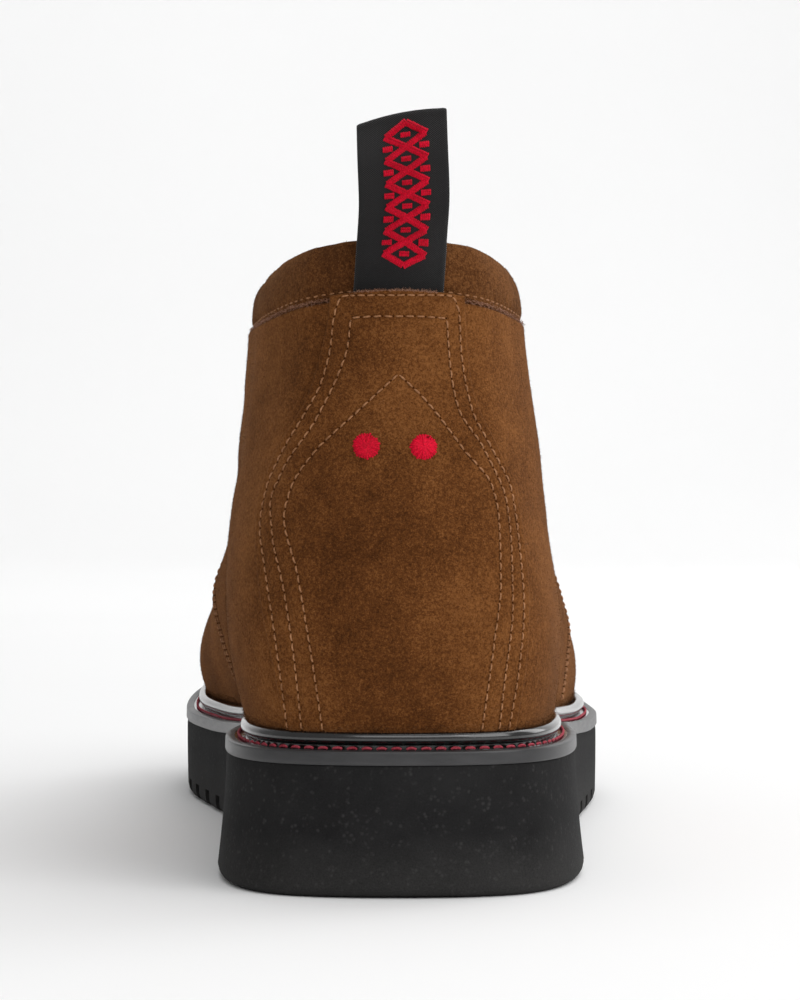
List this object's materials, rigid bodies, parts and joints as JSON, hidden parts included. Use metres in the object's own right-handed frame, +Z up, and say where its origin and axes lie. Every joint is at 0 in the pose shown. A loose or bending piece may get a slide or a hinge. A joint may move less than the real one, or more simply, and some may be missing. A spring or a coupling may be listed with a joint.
{
  "type": "derby boot",
  "caption": "Ankle-high plain-toe derby boot for a right foot, in suede on a thick foam lug sole with a bead welt, padded collar and a woven pull loop at the back.",
  "frame": {"origin": "on the floor, under the middle of the sole's box", "axes": "+Y to the toe, +X to the outer (lateral) side, +Z up"},
  "size_m": [0.1094, 0.3002, 0.1654],
  "materials": {
    "outsole_foam": "matt black expanded foam with fine pale specks",
    "midsole_rubber": "dark grey satin rubber strip",
    "welt_gloss": "glossy black welt with a round bead and red lock stitches",
    "lining": "smooth tan lining leather",
    "suede": "brown suede with a short mottled nap and tan stitching",
    "collar_suede": "brown suede, lightly padded",
    "eyelet_metal": "dull antique metal",
    "lace": "round woven brown lace",
    "tape": "black woven tape with a red woven ornament"
  },
  "bodies": {
    "root": {"outsole": "outsole_foam", "midsole": "midsole_rubber", "welt": "welt_gloss", "insole": "lining", "upper": "suede", "quarter_lateral": "suede", "quarter_medial": "suede", "backstay": "suede", "collar": "collar_suede", "tongue": "suede", "eyelet_lateral_1": "eyelet_metal", "eyelet_lateral_2": "eyelet_metal", "eyelet_lateral_3": "eyelet_metal", "eyelet_medial_1": "eyelet_metal", "eyelet_medial_2": "eyelet_metal", "eyelet_medial_3": "eyelet_metal", "lace": "lace", "pull_loop": "tape"}
  },
  "joints": []
}
